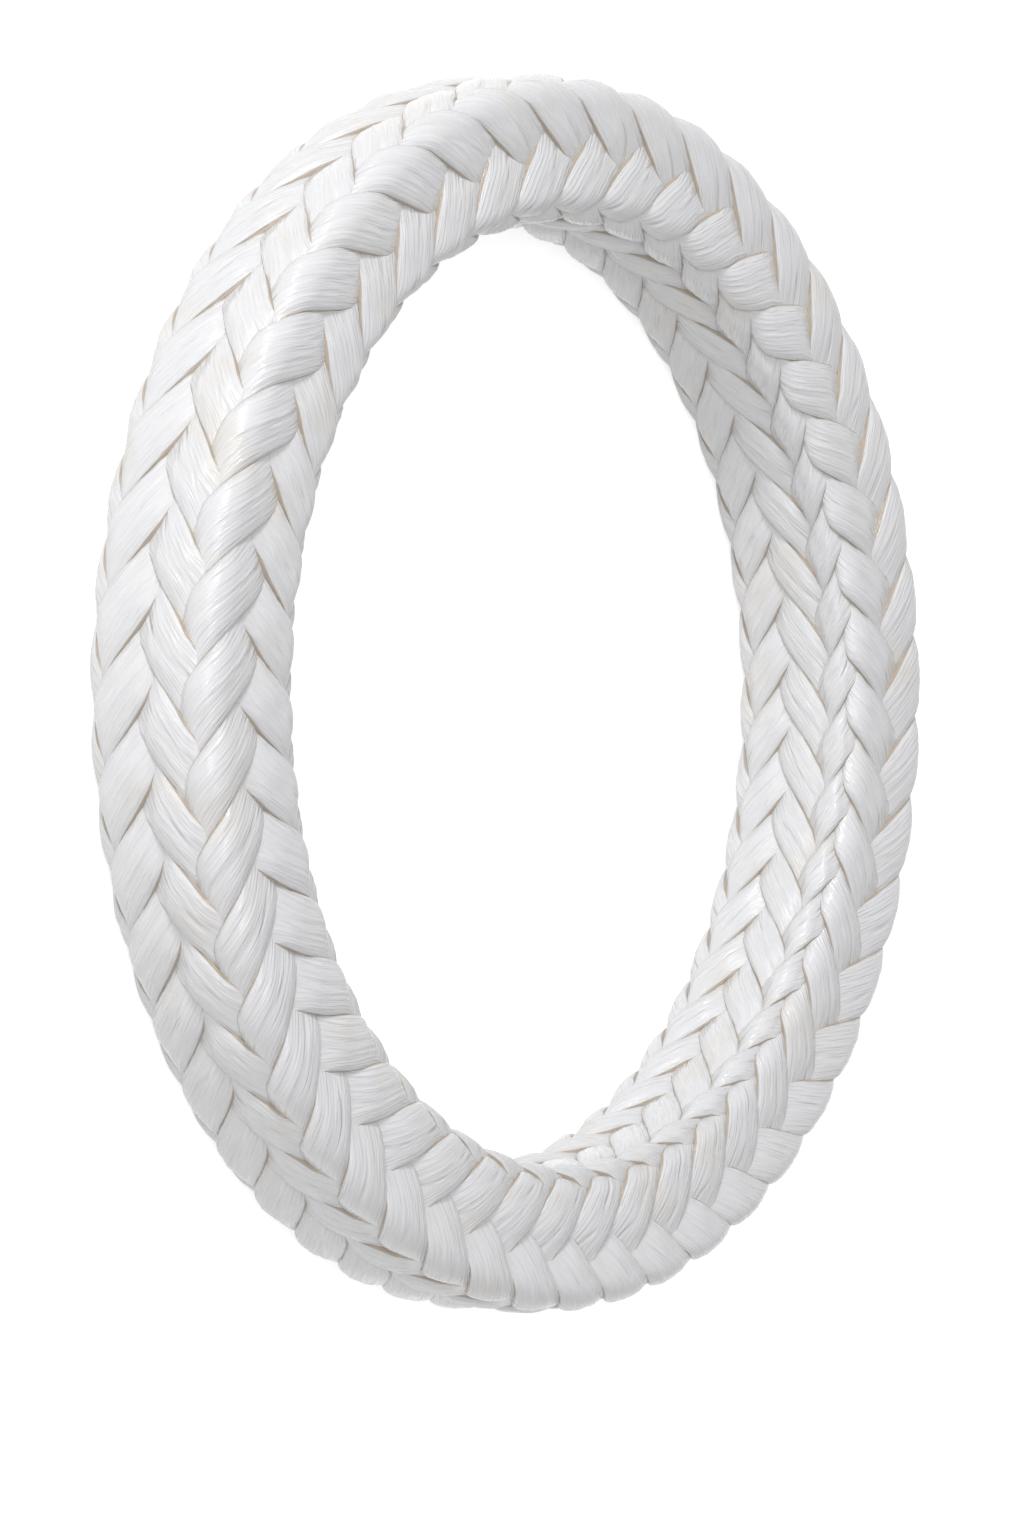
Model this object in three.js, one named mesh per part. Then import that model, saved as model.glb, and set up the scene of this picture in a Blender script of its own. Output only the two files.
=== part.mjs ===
// Ring of square braided gland packing, lying flat on one of its end faces.
// Millimetres, +Z up. The origin is on the axis of the ring, at the surface that the ring lies on.
import * as THREE from 'three';

// The ring
const boreDiameter = 76; // the shaft's diameter
const radialSection = 12; // from the bore to the outside
const axialHeight = 13; // from end face to end face
const cornerRadius = 2.5; // long edges of the braid, before its yarns stand out

// The braid. Its floats, the stretches of yarn that show, stand in columns that run round the ring.
// The floats of one column lean one way and those of the next column the other way.
const floatsPerColumn = 45; // round the ring
// Columns inwards over the upper end face, down the bore and back to the outside. The first one lies on the
// upper outside edge. They fill the outline in these proportions, and there are as many of each lean.
const columnWidths = [7.25, 6.05, 2.75, 4, 4.1, 4.1, 4.05, 4.05, 5.5, 3.85];
const rowsCrossed = [1.05, 0.9, 0.7, 1, 1, 1, 1, 1.05, 1, 0.8]; // by a float that crosses the column
const columnShift = 1.5; // from the middle of the upper outside edge, inwards, to the first column's middle
const bend = 0.1; // how much steeper a float runs at its middle than at its ends

// The braid was laid by hand, so it's a little uneven
const pitchVariation = 0.09; // a row is this much taller than the mean at one side, and shorter at the other
const tallestRowAt = 160; // degrees round the ring
const wander = 0.4; // how far the columns stray round the section, to and fro
const wanderInwardsAt = 170; // degrees round the ring

// One float is a ridge with a flat pressed on it
const crownLength = 5.0; // the flat, along the yarn
const crownWidth = 2.5; // the flat, across the yarn at its middle
const crownTipWidth = 1.7; // the flat, across the yarn at its ends
const grooveDepth = 0.7; // between two floats of one column
const diveDepth = 0.85; // where a float goes under the next column
const pitDepth = 1.2; // where three floats meet

const yarnColour = 0xf1efea;
const yarnRoughness = 0.42;

const meanRadius = (boreDiameter + radialSection) / 2;
const columns = columnWidths.length;

// The section's outline, anticlockwise from the middle of the upper outside corner,
// with the outside of the ring on its right
function sectionOutline() {
  const across = radialSection / 2 - cornerRadius;
  const up = axialHeight / 2 - cornerRadius;
  const outline = new THREE.Path();
  outline.absarc(across, up, cornerRadius, Math.PI / 4, Math.PI / 2);
  outline.absarc(-across, up, cornerRadius, Math.PI / 2, Math.PI);
  outline.absarc(-across, -up, cornerRadius, Math.PI, 1.5 * Math.PI);
  outline.absarc(across, -up, cornerRadius, 1.5 * Math.PI, 2 * Math.PI);
  outline.absarc(across, up, cornerRadius, 0, Math.PI / 4);
  return outline;
}

const outline = sectionOutline();
const outlineLength = outline.getLength();
const columnWidth = outlineLength / columns; // the mean
const floatPitch = (2 * Math.PI * meanRadius) / floatsPerColumn;
const floatLength = Math.hypot(columnWidth, floatPitch);
const floatEndLength = floatLength / 2;

// Where each column starts on the outline, and how many rows its floats are moved along the ring there. The
// floats that lean one way and those that lean the other cross as many rows in all, so the braid closes.
function layColumns() {
  const fit = outlineLength / columnWidths.reduce((sum, width) => sum + width, 0);
  const starts = [columnShift - (columnWidths[0] * fit) / 2];
  const skews = [0];
  for (let column = 0; column < columns; column++) {
    const lean = column % 2 ? 1 : -1;
    starts.push(starts[column] + columnWidths[column] * fit);
    skews.push(skews[column] + lean * (rowsCrossed[column] - 1));
  }
  return { starts, skews };
}

const laid = layColumns();

// Where a point of the braid lies. Column counts round the section and row round the ring, both in floats
// from the middle of a first one, and depth is below the face of the ring.
function braidPoint(column, row, depth) {
  const bent = column + 0.5 + (bend * Math.sin(2 * Math.PI * column)) / (2 * Math.PI);
  const inTurn = THREE.MathUtils.euclideanModulo(bent, columns);
  const whole = Math.floor(inTurn);
  const between = (list) => THREE.MathUtils.lerp(list[whole], list[whole + 1], inTurn - whole);

  const evenAngle = (2 * Math.PI * (row + between(laid.skews))) / floatsPerColumn;
  const angle = evenAngle + pitchVariation * Math.sin(evenAngle - THREE.MathUtils.degToRad(tallestRowAt));
  const astray = wander * Math.cos(angle - THREE.MathUtils.degToRad(wanderInwardsAt));

  const along = THREE.MathUtils.euclideanModulo(between(laid.starts) + astray, outlineLength);
  const onOutline = outline.getPoint(along / outlineLength);
  const tangent = outline.getTangent(along / outlineLength);
  const radius = meanRadius + onOutline.x - tangent.y * depth;
  const height = axialHeight / 2 + onOutline.y + tangent.x * depth;
  return new THREE.Vector3(radius * Math.cos(angle), radius * Math.sin(angle), height);
}

// Where three floats meet, and half way along each edge between two of them, neighbours share one vertex
class BraidMesh {
  constructor() {
    this.positions = [];
    this.triangles = [];
    this.shared = new Map();
  }

  add(column, row, depth) {
    this.positions.push(...braidPoint(column, row, depth).toArray());
    return this.positions.length / 3 - 1;
  }

  addShared(column, row, depth) {
    const quarters = (value, count) => THREE.MathUtils.euclideanModulo(Math.round(4 * value), 4 * count);
    const key = `${quarters(column, columns)} ${quarters(row, floatsPerColumn)}`;
    if (!this.shared.has(key)) this.shared.set(key, this.add(column, row, depth));
    return this.shared.get(key);
  }

  face(a, b, c, lean) {
    this.triangles.push(...(lean > 0 ? [a, c, b] : [a, b, c]));
  }

  geometry() {
    const geometry = new THREE.BufferGeometry();
    geometry.setAttribute('position', new THREE.Float32BufferAttribute(this.positions, 3));
    geometry.setIndex(this.triangles);
    geometry.computeVertexNormals();
    return geometry;
  }
}

// One float, as a ridge. Its edge has two corners at each end and a meeting point half way along each side.
// Along and across run from -1 to 1 between its ends and its sides.
function addFloat(mesh, column, row, lean) {
  const at = (along, across) => [column + lean * (along / 2 - across / 4), row + along / 2 + across / 4];
  const edge = [
    [1, -1, pitDepth],
    [1, 0, diveDepth],
    [1, 1, pitDepth],
    [0.5, 1, grooveDepth],
    [0, 1, pitDepth],
    [-0.5, 1, diveDepth],
  ];
  const rim = [];
  for (const turn of [1, -1]) {
    for (const [along, across, depth] of edge) {
      rim.push(mesh.addShared(...at(turn * along, turn * across), depth));
    }
  }

  const tipAlong = crownLength / floatLength;
  const tipAcross = crownTipWidth / floatEndLength;
  const waist = crownWidth / floatEndLength;
  const crown = [];
  for (const turn of [1, -1]) {
    for (const [along, across] of [[tipAlong, -tipAcross], [tipAlong, tipAcross], [0, waist]]) {
      crown.push(mesh.add(...at(turn * along, turn * across), 0));
    }
  }
  const top = mesh.add(...at(0, 0), 0);

  for (let side = 0; side < crown.length; side++) {
    const next = (side + 1) % crown.length;
    const [corner, middle, nextCorner] = [2 * side, 2 * side + 1, 2 * next];
    mesh.face(crown[side], rim[corner], rim[middle], lean);
    mesh.face(crown[side], rim[middle], crown[next], lean);
    mesh.face(crown[next], rim[middle], rim[nextCorner], lean);
    mesh.face(top, crown[side], crown[next], lean);
  }
}

function packingRing() {
  const braid = new BraidMesh();
  for (let column = 0; column < columns; column++) {
    const odd = column % 2;
    for (let row = 0; row < floatsPerColumn; row++) {
      addFloat(braid, column, row + odd / 2, odd ? 1 : -1);
    }
  }
  const material = new THREE.MeshStandardMaterial({
    color: yarnColour,
    roughness: yarnRoughness,
    metalness: 0,
    flatShading: true,
  });
  const ring = new THREE.Mesh(braid.geometry(), material);
  ring.name = 'packing_ring';
  return ring;
}

const group = new THREE.Group();
group.add(packingRing());

export default group;
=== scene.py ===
import math

import bpy
from mathutils import Matrix, Vector


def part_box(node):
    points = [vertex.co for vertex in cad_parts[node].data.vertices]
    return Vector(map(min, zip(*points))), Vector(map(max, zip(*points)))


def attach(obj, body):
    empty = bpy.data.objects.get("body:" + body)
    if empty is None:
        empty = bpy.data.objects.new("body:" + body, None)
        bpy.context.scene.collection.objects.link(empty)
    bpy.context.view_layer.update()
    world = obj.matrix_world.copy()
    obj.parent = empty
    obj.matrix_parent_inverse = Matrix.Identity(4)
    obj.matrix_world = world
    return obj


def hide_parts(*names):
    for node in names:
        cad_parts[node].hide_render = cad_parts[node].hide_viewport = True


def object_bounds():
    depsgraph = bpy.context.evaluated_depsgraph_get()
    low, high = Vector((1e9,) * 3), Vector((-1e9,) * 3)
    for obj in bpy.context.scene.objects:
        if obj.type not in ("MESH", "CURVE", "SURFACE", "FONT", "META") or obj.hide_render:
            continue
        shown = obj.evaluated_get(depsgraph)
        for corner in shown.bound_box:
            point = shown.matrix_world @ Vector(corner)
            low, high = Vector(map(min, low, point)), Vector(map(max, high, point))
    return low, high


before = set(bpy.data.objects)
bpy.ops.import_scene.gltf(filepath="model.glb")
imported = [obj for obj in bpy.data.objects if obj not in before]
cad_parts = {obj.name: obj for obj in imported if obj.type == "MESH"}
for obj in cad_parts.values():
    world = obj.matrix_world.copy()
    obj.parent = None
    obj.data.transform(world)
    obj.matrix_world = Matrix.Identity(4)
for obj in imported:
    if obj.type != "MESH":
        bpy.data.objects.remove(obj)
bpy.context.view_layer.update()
scene = bpy.context.scene
ringLow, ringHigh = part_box("packing_ring")

# The packing, in metres. The outside and the height come from the frame
packing = {
    "radialSection": 0.012,
    "cornerRadius": 0.0025,      # long edges, at the crowns of the yarns
    "cornerSteps": 24,           # to each long edge, for a smooth outline
    "rows": 45,                  # floats of one column, round the ring
    # columns inwards over the top, down the bore and back, from the one on the upper outside edge, in
    # proportion
    "columnWidths": (7.25, 6.05, 2.75, 4, 4.1, 4.1, 4.05, 4.05, 5.5, 3.85),
    "rowsCrossed": (1.05, 0.9, 0.7, 1, 1, 1, 1, 1.05, 1, 0.8),   # by a float that crosses the column
    "columnShift": 0.0015,       # first column's middle, from the middle of the upper outside edge
    "bend": 0.1,                 # how much steeper a float runs at its middle than at its ends
    "pitchVariation": 0.09,      # rows are taller than the mean by this share at one side of the ring
    "tallestRowAt": math.radians(160),
    "wander": 0.0004,            # how far the columns stray round the section, to and fro
    "wanderInwardsAt": math.radians(170),
}
packing["axialHeight"] = ringHigh.z - ringLow.z
packing["boreRadius"] = ringHigh.x - packing["radialSection"]
ringCentre = (ringLow + ringHigh) / 2


# A number that a node gives. Arithmetic with it adds Math nodes to its tree
class Field:
    def __init__(self, tree, socket):
        self.tree = tree
        self.socket = socket

    def math(self, operation, *others):
        node = self.tree.nodes.new("ShaderNodeMath")
        node.operation = operation
        plug(self.tree, node, (self, *others))
        return Field(self.tree, node.outputs[0])

    def __add__(self, other):
        return self.math("ADD", other)

    def __sub__(self, other):
        return self.math("SUBTRACT", other)

    def __mul__(self, other):
        return self.math("MULTIPLY", other)

    def __truediv__(self, other):
        return self.math("DIVIDE", other)

    def __rsub__(self, other):
        return self * -1.0 + other

    __radd__ = __add__
    __rmul__ = __mul__

    def power(self, exponent):
        return self.math("POWER", exponent)

    def sin(self):
        return self.math("SINE")

    def cos(self):
        return self.math("COSINE")

    def size(self):
        return self.math("ABSOLUTE")

    def atLeast(self, low):
        return self.math("MAXIMUM", low)


def plug(tree, node, values):
    for socket, value in zip(node.inputs, values):
        if isinstance(value, Field):
            tree.links.new(value.socket, socket)
        elif value is not None:
            socket.default_value = value
    return node


def vector(tree, *values):
    return plug(tree, tree.nodes.new("ShaderNodeCombineXYZ"), values).outputs[0]


def parts(tree, socket):
    node = tree.nodes.new("ShaderNodeSeparateXYZ")
    tree.links.new(socket, node.inputs[0])
    return [Field(tree, output) for output in node.outputs]


def noise(tree, place, scale, detail=2.0, roughness=0.5):
    node = tree.nodes.new("ShaderNodeTexNoise")
    tree.links.new(vector(tree, *place), node.inputs["Vector"])
    node.inputs["Scale"].default_value = scale
    node.inputs["Detail"].default_value = detail
    node.inputs["Roughness"].default_value = roughness
    return Field(tree, node.outputs["Fac"])


def ramp(tree, value, fromLow, fromHigh, toLow, toHigh, smooth=True):
    node = tree.nodes.new("ShaderNodeMapRange")
    node.interpolation_type = "SMOOTHSTEP" if smooth else "LINEAR"
    plug(tree, node, (value, fromLow, fromHigh, toLow, toHigh))
    return Field(tree, node.outputs[0])


# straight stretches through evenly spaced heights, for a value from 0 to 1
def evenCurve(tree, value, heights):
    node = tree.nodes.new("ShaderNodeFloatCurve")
    node.mapping.use_clip = False
    line = node.mapping.curves[0]
    last = len(heights) - 1
    line.points[0].location = (0.0, heights[0])
    line.points[1].location = (1.0, heights[last])
    for number in range(1, last):
        line.points.new(number / last, heights[number])
    for point in line.points:
        point.handle_type = "VECTOR"
    node.mapping.update()
    plug(tree, node, (1.0, value))
    return Field(tree, node.outputs[0])


# Where each column starts, as a share of the outline, and how many rows its floats are moved along the
# ring. The floats that lean one way and the other cross as many rows in all, so the braid closes
def layColumns():
    widths = packing["columnWidths"]
    starts, skews = [0.0], [0.0]
    for column, width in enumerate(widths):
        lean = 1 if column % 2 else -1
        starts.append(starts[-1] + width / sum(widths))
        skews.append(skews[-1] + lean * (packing["rowsCrossed"][column] - 1))
    return starts, skews


# The yarn that the ring is plaited from
yarn = {
    "yarnsEachWay": 5,           # closed loops that lean one way, and as many the other way
    "floatsInYarn": 45,
    "fullness": 1.03,            # width, as a share of the room between its neighbours
    "flare": 0.13,               # half of how much wider it spreads where it goes under
    "thickness": 0.0011,
    "squareness": 4.1,           # of its section: 2 is an ellipse, more is squarer
    "crown": 0.00022,            # how far the middle of a float stands above its sides
    "weaveDepth": 0.00048,       # half the way from over to under
    "strandHeight": 0.00014,     # relief of the fibre bundles
    "strandScale": (0.45, 3.0),  # of their noise, along and across the yarn
    "swell": 0.04,               # how much wider and narrower it gets along its way
    "swellScale": 0.6,
    "stray": 0.03,               # how far it strays from its line, in rows
    "strayScale": 0.7,
    "plyScale": 0.9,             # of the noise that moves the crease between its two plies
    "askew": 0.25,               # how far a side dives before or after the middle, in columns
    "sag": 0.4,                  # how much lower it lies half way down, as a share of weaveDepth
    "stationsPerFloat": 38,
    "pointsRound": 28,
    "crowding": 0.6,             # of those points towards the upper half, which shows
}

yarnInputs = (
    ("Bore Radius", "Float"), ("Radial Section", "Float"), ("Axial Height", "Float"),
    ("Corner Radius", "Float"), ("Columns", "Int"), ("Rows", "Int"), ("Column Shift", "Float"),
    ("First Width", "Float"), ("Bend", "Float"), ("Pitch Variation", "Float"), ("Tallest Row At", "Float"),
    ("Wander", "Float"), ("Wander Inwards At", "Float"), ("Lean", "Float"), ("Start Column", "Float"),
    ("Start Row", "Float"), ("Floats in Yarn", "Int"), ("Fullness", "Float"), ("Flare", "Float"),
    ("Thickness", "Float"), ("Squareness", "Float"), ("Crown", "Float"), ("Weave Depth", "Float"),
    ("Strand Height", "Float"), ("Swell", "Float"), ("Stray", "Float"), ("Askew", "Float"), ("Sag", "Float"),
    ("Stations per Float", "Int"), ("Points Round", "Int"), ("Crowding", "Float"), ("Seed", "Float"),
    ("Yarn Material", "Material"),
)


# The filament that it is spun from. A pair that ends in Between is where a tint starts and where it's full,
# in the noise or the length that it follows
finish = {
    "fibre": (0.852, 0.852, 0.87),
    "aged": (0.82, 0.765, 0.68),     # faint yellowing
    "agedMost": 0.5,
    "agedBetween": (0.5, 0.75),
    "patchScale": 160.0,
    "grooveShade": (0.47, 0.38, 0.28),    # painted shade in the grooves between the yarns and where a yarn dives deep
    "sideShadeMost": 0.85,
    "sideShadeBetween": (0.965, 1.0),     # as a share of the way to the neighbour
    "deepShadeMost": 0.9,
    "deepShadeBetween": (0.65, 1.05),     # below the ring's face, in millimetres
    "dull": (0.45, 0.45, 0.48),      # where fibres lie in each other's shade
    "dullMost": 0.13,
    "dullBetween": (0.36, 0.6),      # full first
    "paintedGlint": (0.93, 0.93, 0.94),    # painted glints on single fibres that catch the light
    "paintedGlintMost": 0.7,
    "paintedGlintBetween": (0.54, 0.7),
    "columnRun": 7.65,               # length of yarn from one column to the next, in millimetres
    "radianRun": 1.2,                # length round the yarn for each radian, in millimetres
    "fibres": (0.32, 7.5),           # to a millimetre, along and across the yarn
    "bundles": (0.22, 2.8),          # of fibres, likewise
    "plyPatches": 0.3,               # to a millimetre, stretches in which the crease between plies shows
    "plyBetween": (0.42, 0.62),
    "plyWidth": 0.16,                # half the crease, as a share of half the yarn
    "plyDepth": 0.32,                # as a share of the relief
    # painted shade in the crease between the plies, as a share of the dull colour
    "plyShade": 0.08,
    "relief": 0.00026,               # of the fibres
    "roughness": (0.46, 0.24),       # between the fibres and on them
    "roughnessBetween": (0.35, 0.65),
    "gloss": 0.6,
    "glossRoughness": 0.13,
}


# outline of the section, rounded at its corners, from the start of the upper outside corner
def outlineNodes(tree, given):
    box = tree.nodes.new("GeometryNodeCurvePrimitiveQuadrilateral")
    plug(tree, box, (given["Radial Section"], given["Axial Height"]))
    rounded = tree.nodes.new("GeometryNodeFilletCurve")
    rounded.mode = "POLY"
    tree.links.new(box.outputs[0], rounded.inputs["Curve"])
    rounded.inputs["Count"].default_value = packing["cornerSteps"]
    tree.links.new(given["Corner Radius"].socket, rounded.inputs["Radius"])
    length = tree.nodes.new("GeometryNodeCurveLength")
    tree.links.new(rounded.outputs[0], length.inputs[0])
    return rounded.outputs[0], Field(tree, length.outputs[0])


# from column, row and depth below the face to a place on the ring
def placeNodes(tree, given, column, row, depth):
    outline, outlineLength = outlineNodes(tree, given)
    starts, skews = layColumns()
    bent = column + 0.5 + (column * (2 * math.pi)).sin() * given["Bend"] / (2 * math.pi)
    inTurn = bent.math("FLOORED_MODULO", given["Columns"]) / given["Columns"]

    evenAngle = (row + evenCurve(tree, inTurn, skews)) * (2 * math.pi) / given["Rows"]
    angle = evenAngle + (evenAngle - given["Tallest Row At"]).sin() * given["Pitch Variation"]
    astray = (angle - given["Wander Inwards At"]).cos() * given["Wander"]

    firstMiddle = given["Corner Radius"] * (math.pi / 4) + given["Column Shift"]
    firstStart = firstMiddle - given["First Width"] * outlineLength / 2
    runLength = evenCurve(tree, inTurn, starts) * outlineLength + firstStart + astray
    sample = tree.nodes.new("GeometryNodeSampleCurve")
    sample.mode = "LENGTH"
    tree.links.new(outline, sample.inputs["Curves"])
    tree.links.new(runLength.math("FLOORED_MODULO", outlineLength).socket, sample.inputs["Length"])
    onOutline = parts(tree, sample.outputs["Position"])
    tangent = parts(tree, sample.outputs["Tangent"])
    radius = given["Bore Radius"] + given["Radial Section"] / 2 + onOutline[0] - tangent[1] * depth
    height = given["Axial Height"] / 2 + onOutline[1] + tangent[0] * depth
    return vector(tree, radius * angle.cos(), radius * angle.sin(), height)


def storeNode(tree, geometry, name, kind, domain, value):
    node = tree.nodes.new("GeometryNodeStoreNamedAttribute")
    node.data_type = kind
    node.domain = domain
    node.inputs["Name"].default_value = name
    tree.links.new(geometry, node.inputs["Geometry"])
    tree.links.new(value, node.inputs["Value"])
    return node.outputs["Geometry"]


# A yarn is a tube drawn along its line round the ring. Its line climbs one column for each row that it
# passes, and runs over in every second column and under in the others
def buildYarnTree():
    tree = bpy.data.node_groups.new("plaitedYarn", "GeometryNodeTree")
    sockets = {}
    for name, kind in yarnInputs:
        sockets[name] = tree.interface.new_socket(name, in_out="INPUT", socket_type="NodeSocket" + kind)
    tree.interface.new_socket("Yarn", in_out="OUTPUT", socket_type="NodeSocketGeometry")
    inputNode = tree.nodes.new("NodeGroupInput")
    given = {name: Field(tree, inputNode.outputs[name]) for name, kind in yarnInputs}
    result = tree.nodes.new("NodeGroupOutput")

    # a flat sheet of points, along the yarn and round it
    grid = tree.nodes.new("GeometryNodeMeshGrid")
    stations = given["Floats in Yarn"] * given["Stations per Float"]
    plug(tree, grid, (1.0, 1.0, stations + 1.0, given["Points Round"] + 1.0))
    place = parts(tree, tree.nodes.new("GeometryNodeInputPosition").outputs[0])
    lap = place[0] + 0.5
    columnsRun = given["Floats in Yarn"] * 2.0
    along = lap * columnsRun

    turn = (place[1] + 0.5) * (2 * math.pi)
    angle = turn + turn.cos() * given["Crowding"]
    across = angle.cos()
    upOrDown = angle.sin().math("SIGN")
    narrowed = (1.0 - across.size().power(given["Squareness"])).atLeast(0.0)
    rise = narrowed.power(given["Squareness"].power(-1.0)) * upOrDown

    # fixed noise that closes on itself, because the end of the loop meets its start
    lapRadius = columnsRun / (2 * math.pi)
    lapX = (lap * (2 * math.pi)).cos() * lapRadius
    lapY = (lap * (2 * math.pi)).sin() * lapRadius
    stray = noise(tree, (lapX, lapY, given["Seed"]), yarn["strayScale"], 1.0) - 0.5
    swell = noise(tree, (lapX, lapY, given["Seed"] + 40.0), yarn["swellScale"], 1.0) - 0.5
    plyStray = noise(tree, (lapX, lapY, given["Seed"] + 80.0), yarn["plyScale"], 1.0) - 0.5
    strandLong, strandFine = yarn["strandScale"]
    strandPlace = (lapX * strandLong, lapY * strandLong, across * strandFine + given["Seed"])
    strand = noise(tree, strandPlace, 1.0, 2.0, 0.6) - 0.5

    # Over and under: 1 on a float's crown, -1 where the yarn is deepest. One side of it rises and dives
    # before the other, because the yarns that it crosses run askew
    phase = along + across * given["Lean"] * given["Askew"]
    wave = (phase * math.pi).cos()
    between = 1.0 - wave * wave
    lift = wave * (1.5 - wave * wave * 0.5) - between * between * given["Sag"]
    onTop = rise.atLeast(0.0)
    seen = ramp(tree, lift, -0.1, 0.5, 0.0, 1.0)
    relief = strand * 2.0 * given["Strand Height"] * onTop * seen
    crown = across * across * given["Crown"] * (seen * 0.8 + 0.2)
    halfThickness = given["Thickness"] / 2
    centreDepth = halfThickness + given["Weave Depth"] * (1.0 - lift) + crown
    depth = centreDepth - rise * halfThickness - relief

    spread = swell * given["Swell"] * 2.0 + 1.0 + given["Flare"] * (1.0 - lift)
    sideways = across * given["Fullness"] * 0.5 * spread
    column = given["Start Column"] + along
    row = given["Start Row"] + along * given["Lean"] + sideways + stray * given["Stray"] * 2.0
    onRing = placeNodes(tree, given, column, row, depth)

    # yarnUv runs in millimetres along and across the yarn, and sunk is the depth below the ring's face in
    # millimetres. Side is 1 where the neighbour begins, and ply is 0 between the two plies of the yarn
    overYarn = vector(tree, along * finish["columnRun"], angle * finish["radianRun"], 0.0)
    marked = storeNode(tree, grid.outputs[0], "yarnUv", "FLOAT2", "CORNER", overYarn)
    marked = storeNode(tree, marked, "sunk", "FLOAT", "POINT", (depth * 1000.0).socket)
    marked = storeNode(tree, marked, "side", "FLOAT", "POINT", (sideways * 2.0).socket)
    marked = storeNode(tree, marked, "ply", "FLOAT", "POINT", (across - plyStray * 1.4).socket)
    placed = tree.nodes.new("GeometryNodeSetPosition")
    tree.links.new(marked, placed.inputs["Geometry"])
    tree.links.new(onRing, placed.inputs["Position"])
    merged = tree.nodes.new("GeometryNodeMergeByDistance")
    tree.links.new(placed.outputs[0], merged.inputs["Geometry"])
    merged.inputs["Distance"].default_value = 1e-6
    smooth = tree.nodes.new("GeometryNodeSetShadeSmooth")
    tree.links.new(merged.outputs[0], smooth.inputs[0])
    realized = tree.nodes.new("GeometryNodeRealizeInstances")
    tree.links.new(smooth.outputs[0], realized.inputs[0])
    finished = tree.nodes.new("GeometryNodeSetMaterial")
    tree.links.new(realized.outputs[0], finished.inputs["Geometry"])
    tree.links.new(given["Yarn Material"].socket, finished.inputs["Material"])
    tree.links.new(finished.outputs[0], result.inputs[0])
    return tree, sockets


def mixed(tree, amount, below, above):
    node = tree.nodes.new("ShaderNodeMix")
    node.data_type = "RGBA"
    tree.links.new(amount.socket, node.inputs[0])
    for socket, colour in ((node.inputs[6], below), (node.inputs[7], above)):
        if isinstance(colour, tuple):
            socket.default_value = (*colour, 1)
        else:
            tree.links.new(colour, socket)
    return node.outputs[2]


def attribute(tree, name):
    node = tree.nodes.new("ShaderNodeAttribute")
    node.attribute_name = name
    return Field(tree, node.outputs["Fac"])


# White filament yarn, whose gloss the fibres break up
def yarnMaterial():
    material = bpy.data.materials.new("packingYarn")
    material.use_nodes = True
    tree = material.node_tree
    shader = tree.nodes["Principled BSDF"]
    uv = tree.nodes.new("ShaderNodeUVMap")
    uv.uv_map = "yarnUv"
    along, across = parts(tree, uv.outputs[0])[:2]
    place = parts(tree, tree.nodes.new("ShaderNodeTexCoord").outputs["Object"])

    # fibres are long and thin, so noise is stretched along the yarn
    fibreLong, fibreFine = finish["fibres"]
    bundleLong, bundleFine = finish["bundles"]
    fibres = noise(tree, (along * fibreLong, across * fibreFine), 1.0, 2.0, 0.6)
    bundles = noise(tree, (along * bundleLong, across * bundleFine, 5.0), 1.0, 1.0, 0.5)
    plyPatches = noise(tree, (along * finish["plyPatches"], 0.0, 9.0), 1.0, 1.0)
    plyShows = ramp(tree, plyPatches, *finish["plyBetween"], 0.0, 1.0)
    ply = ramp(tree, attribute(tree, "ply").size(), 0.0, finish["plyWidth"], 1.0, 0.0) * plyShows
    height = fibres * 0.5 + bundles * 0.5 - ply * finish["plyDepth"]
    bump = tree.nodes.new("ShaderNodeBump")
    bump.inputs["Strength"].default_value = 1.0
    bump.inputs["Distance"].default_value = finish["relief"]
    tree.links.new(height.socket, bump.inputs["Height"])
    tree.links.new(bump.outputs[0], shader.inputs["Normal"])
    tree.links.new(bump.outputs[0], shader.inputs["Coat Normal"])

    patches = noise(tree, place, finish["patchScale"], 2.0, 0.5)
    aged = ramp(tree, patches, *finish["agedBetween"], 0.0, finish["agedMost"])
    colour = mixed(tree, aged, finish["fibre"], finish["aged"])
    shade = fibres * 0.65 + bundles * 0.35
    streak = ramp(tree, shade, *finish["dullBetween"], finish["dullMost"], 0.0, smooth=False)
    # painted shade: darker where fibres lie in each other's shade and in the crease between the plies
    colour = mixed(tree, streak.atLeast(ply * finish["plyShade"]), colour, finish["dull"])
    # painted highlight: some fibres are lightened towards white, standing in for glints
    glint = ramp(tree, fibres, *finish["paintedGlintBetween"], 0.0, finish["paintedGlintMost"])
    colour = mixed(tree, glint, colour, finish["paintedGlint"])
    # painted shade: the colour darkens at a yarn's sides and where it lies deep, standing in for the shadow
    # in the grooves
    side = attribute(tree, "side").size()
    shadeAtSide = ramp(tree, side, *finish["sideShadeBetween"], 0.0, finish["sideShadeMost"])
    shadeWhenDeep = ramp(tree, attribute(tree, "sunk"), *finish["deepShadeBetween"], 0.0, finish["deepShadeMost"])
    colour = mixed(tree, shadeAtSide.atLeast(shadeWhenDeep), colour, finish["grooveShade"])
    tree.links.new(colour, shader.inputs["Base Color"])
    roughness = ramp(tree, fibres, *finish["roughnessBetween"], *finish["roughness"], smooth=False)
    tree.links.new(roughness.socket, shader.inputs["Roughness"])
    shader.inputs["Coat Weight"].default_value = finish["gloss"]
    shader.inputs["Coat Roughness"].default_value = finish["glossRoughness"]
    return material


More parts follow.
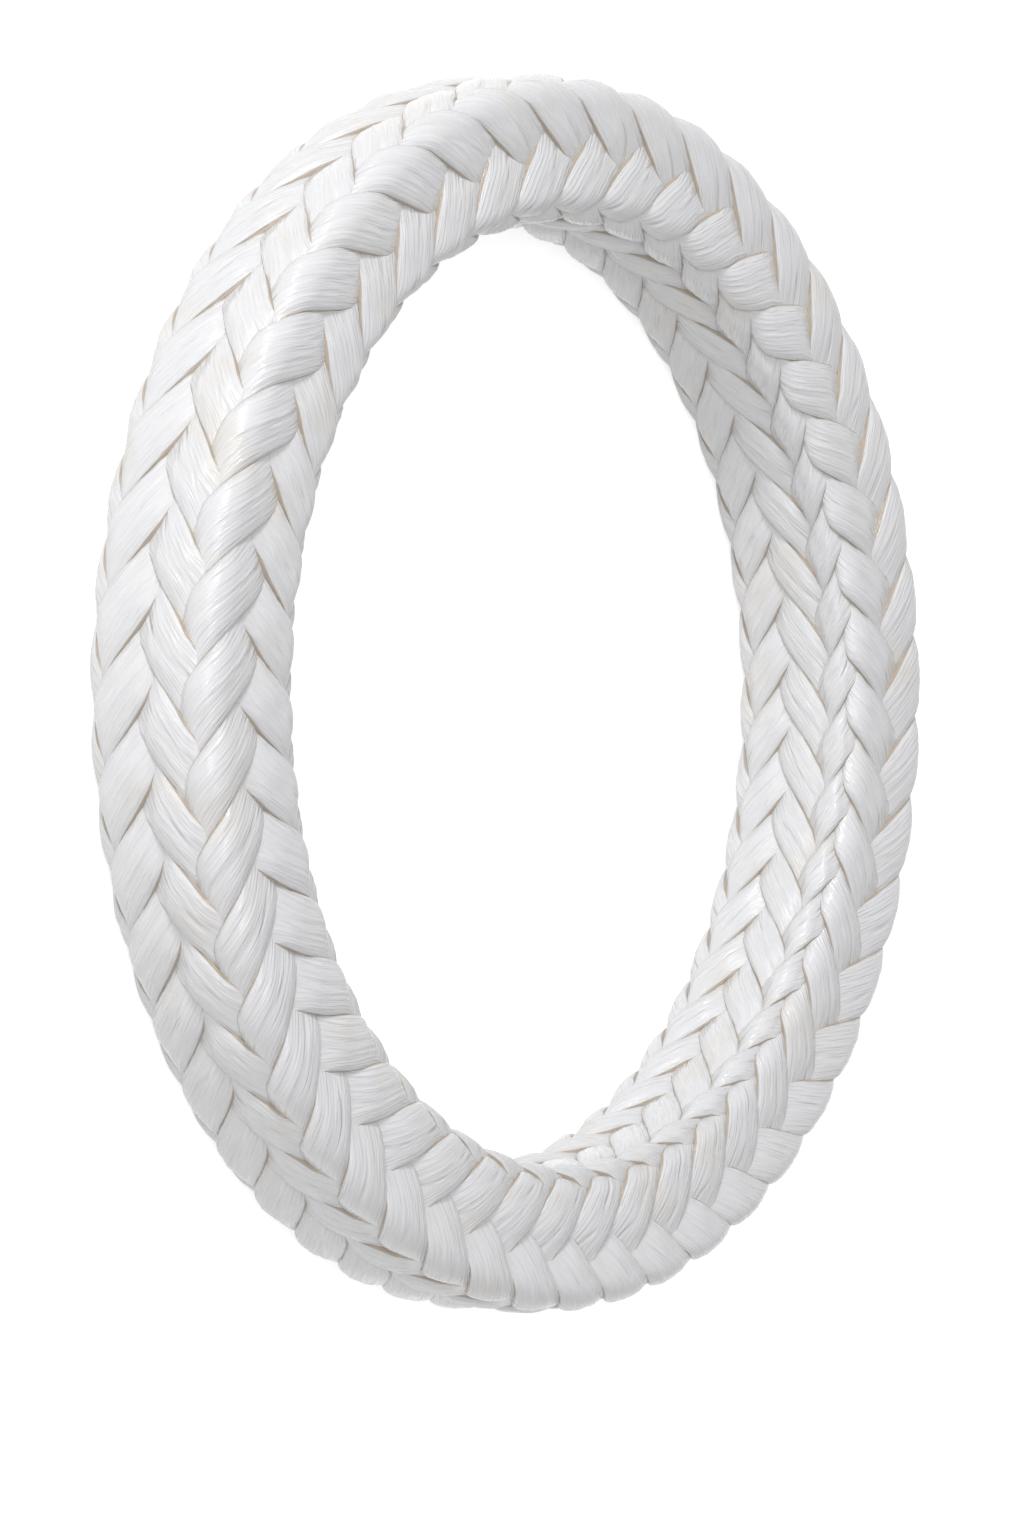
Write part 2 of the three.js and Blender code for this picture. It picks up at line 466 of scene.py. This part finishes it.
def yarnValues(number, lean, start, material):
    return {
        "Bore Radius": packing["boreRadius"],
        "Radial Section": packing["radialSection"],
        "Axial Height": packing["axialHeight"],
        "Corner Radius": packing["cornerRadius"],
        "Columns": len(packing["columnWidths"]),
        "Rows": packing["rows"],
        "Column Shift": packing["columnShift"],
        "First Width": packing["columnWidths"][0] / sum(packing["columnWidths"]),
        "Bend": packing["bend"],
        "Pitch Variation": packing["pitchVariation"],
        "Tallest Row At": packing["tallestRowAt"],
        "Wander": packing["wander"],
        "Wander Inwards At": packing["wanderInwardsAt"],
        "Lean": float(lean),
        "Start Column": start,
        "Start Row": number + start / 2,
        "Floats in Yarn": yarn["floatsInYarn"],
        "Fullness": yarn["fullness"],
        "Flare": yarn["flare"],
        "Thickness": yarn["thickness"],
        "Squareness": yarn["squareness"],
        "Crown": yarn["crown"],
        "Weave Depth": yarn["weaveDepth"],
        "Strand Height": yarn["strandHeight"],
        "Swell": yarn["swell"],
        "Stray": yarn["stray"],
        "Askew": yarn["askew"],
        "Sag": yarn["sag"],
        "Stations per Float": yarn["stationsPerFloat"],
        "Points Round": yarn["pointsRound"],
        "Crowding": yarn["crowding"],
        "Seed": 7.3 * number + 50.0 * (lean + 1),
        "Yarn Material": material,
    }


def makeYarns(material):
    tree, sockets = buildYarnTree()
    made = []
    for lean, start in ((-1, 0.0), (1, 1.0)):
        for number in range(yarn["yarnsEachWay"]):
            name = f"yarn{'Left' if lean < 0 else 'Right'}{number + 1}"
            carrier = bpy.data.objects.new(name + "Draft", bpy.data.meshes.new(name + "Draft"))
            scene.collection.objects.link(carrier)
            modifier = carrier.modifiers.new("plaitedYarn", "NODES")
            modifier.node_group = tree
            values = yarnValues(number, lean, start, material)
            for socketName, value in values.items():
                modifier[sockets[socketName].identifier] = value
            drawn = carrier.evaluated_get(bpy.context.evaluated_depsgraph_get())
            mesh = bpy.data.meshes.new_from_object(drawn)
            bpy.data.objects.remove(carrier)
            piece = bpy.data.objects.new(name, mesh)
            scene.collection.objects.link(piece)
            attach(piece, "root")
            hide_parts("packing_ring")
            made.append(piece)
    return made


print("plaiting the yarns")
yarns = makeYarns(yarnMaterial())
print("yarns:", len(yarns), "faces each:", len(yarns[0].data.polygons))


# Pale floor, plain light
stage = {
    "floorSize": 6.0,
    "floorColour": (0.82, 0.82, 0.81),
    "floorRoughness": 0.9,
    "lift": 0.66,            # of the floor, towards white
    "world": 0.42,
}


def makeFloor():
    size = stage["floorSize"]
    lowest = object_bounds()[0][2]  # the ring stands on the crowns of its floats
    mesh = bpy.data.meshes.new("floor")
    corners = [(x * size, y * size, lowest) for x, y in ((-1, -1), (1, -1), (1, 1), (-1, 1))]
    mesh.from_pydata(corners, [], [(0, 1, 2, 3)])
    floor = bpy.data.objects.new("floor", mesh)
    scene.collection.objects.link(floor)
    material = bpy.data.materials.new("floor")
    material.use_nodes = True
    tree = material.node_tree
    shader = tree.nodes["Principled BSDF"]
    shader.inputs["Base Color"].default_value = (*stage["floorColour"], 1)
    shader.inputs["Roughness"].default_value = stage["floorRoughness"]
    shader.inputs["Specular IOR Level"].default_value = 0.0
    # what the camera sees is lifted to white, and the shadow stays
    glow = tree.nodes.new("ShaderNodeEmission")
    path = tree.nodes.new("ShaderNodeLightPath")
    seen = Field(tree, path.outputs["Is Camera Ray"]).atLeast(Field(tree, path.outputs["Is Glossy Ray"]))
    tree.links.new((seen * stage["lift"]).socket, glow.inputs["Strength"])
    both = tree.nodes.new("ShaderNodeAddShader")
    tree.links.new(shader.outputs[0], both.inputs[0])
    tree.links.new(glow.outputs[0], both.inputs[1])
    tree.links.new(both.outputs[0], tree.nodes["Material Output"].inputs["Surface"])
    mesh.materials.append(material)


def makeWorld():
    world = bpy.data.worlds.new("room")
    scene.world = world
    world.use_nodes = True
    tree = world.node_tree
    background = tree.nodes["Background"]
    path = tree.nodes.new("ShaderNodeLightPath")
    seen = Field(tree, path.outputs["Is Camera Ray"]).atLeast(Field(tree, path.outputs["Is Glossy Ray"]))
    strength = seen * (1.0 - stage["world"]) + stage["world"]
    tree.links.new(strength.socket, background.inputs["Strength"])
    background.inputs["Color"].default_value = (1, 1, 1, 1)


# The picture's up is -X, its right is +Y and up from the floor
lamps = {
    "key": {"place": (-0.95, -0.74, 0.53), "size": 0.28, "power": 6.8},
    "fill": {"place": (-0.15, -1.1, 0.88), "size": 0.7, "power": 4.8},
}


def makeLamps():
    for name, lamp in lamps.items():
        data = bpy.data.lights.new(name, "AREA")
        data.size = lamp["size"]
        data.energy = lamp["power"]
        holder = bpy.data.objects.new(name, data)
        scene.collection.objects.link(holder)
        holder.location = lamp["place"]
        towards = ringCentre - Vector(lamp["place"])
        holder.rotation_mode = "QUATERNION"
        holder.rotation_quaternion = towards.to_track_quat("-Z", "Y")


# The photograph shows the ring on its edge, so the camera looks down at the lying ring and is rolled a
# quarter turn. Distance is in metres, angles are in degrees and pixels are the photograph's
view = {
    "distance": 0.5473,
    "elevation": 35.897,
    "roll": -89.9,
    "focalPixels": 6746.7,
    "pixelsRight": 20.0,
    "pixelsUp": 74.9,
    "frameHeight": 1536.0,
    "sensor": 36.0,
}


def makeCamera():
    data = bpy.data.cameras.new("camera")
    data.sensor_width = view["sensor"]
    data.lens = view["focalPixels"] * view["sensor"] / view["frameHeight"]
    data.shift_x = -view["pixelsRight"] / view["frameHeight"]
    data.shift_y = -view["pixelsUp"] / view["frameHeight"]
    camera = bpy.data.objects.new("camera", data)
    scene.collection.objects.link(camera)
    elevation, roll = math.radians(view["elevation"]), math.radians(view["roll"])
    back = Vector((0, -math.cos(elevation), math.sin(elevation)))
    level = Vector((1, 0, 0))
    up = back.cross(level)
    right = level * math.cos(roll) - up * math.sin(roll)
    top = level * math.sin(roll) + up * math.cos(roll)
    turn = Matrix((right, top, back)).transposed()
    camera.matrix_world = Matrix.Translation(ringCentre + back * view["distance"]) @ turn.to_4x4()
    scene.camera = camera


print("stage, lamps and camera")
makeFloor()
makeWorld()
makeLamps()
makeCamera()
scene.view_settings.view_transform = "Standard"
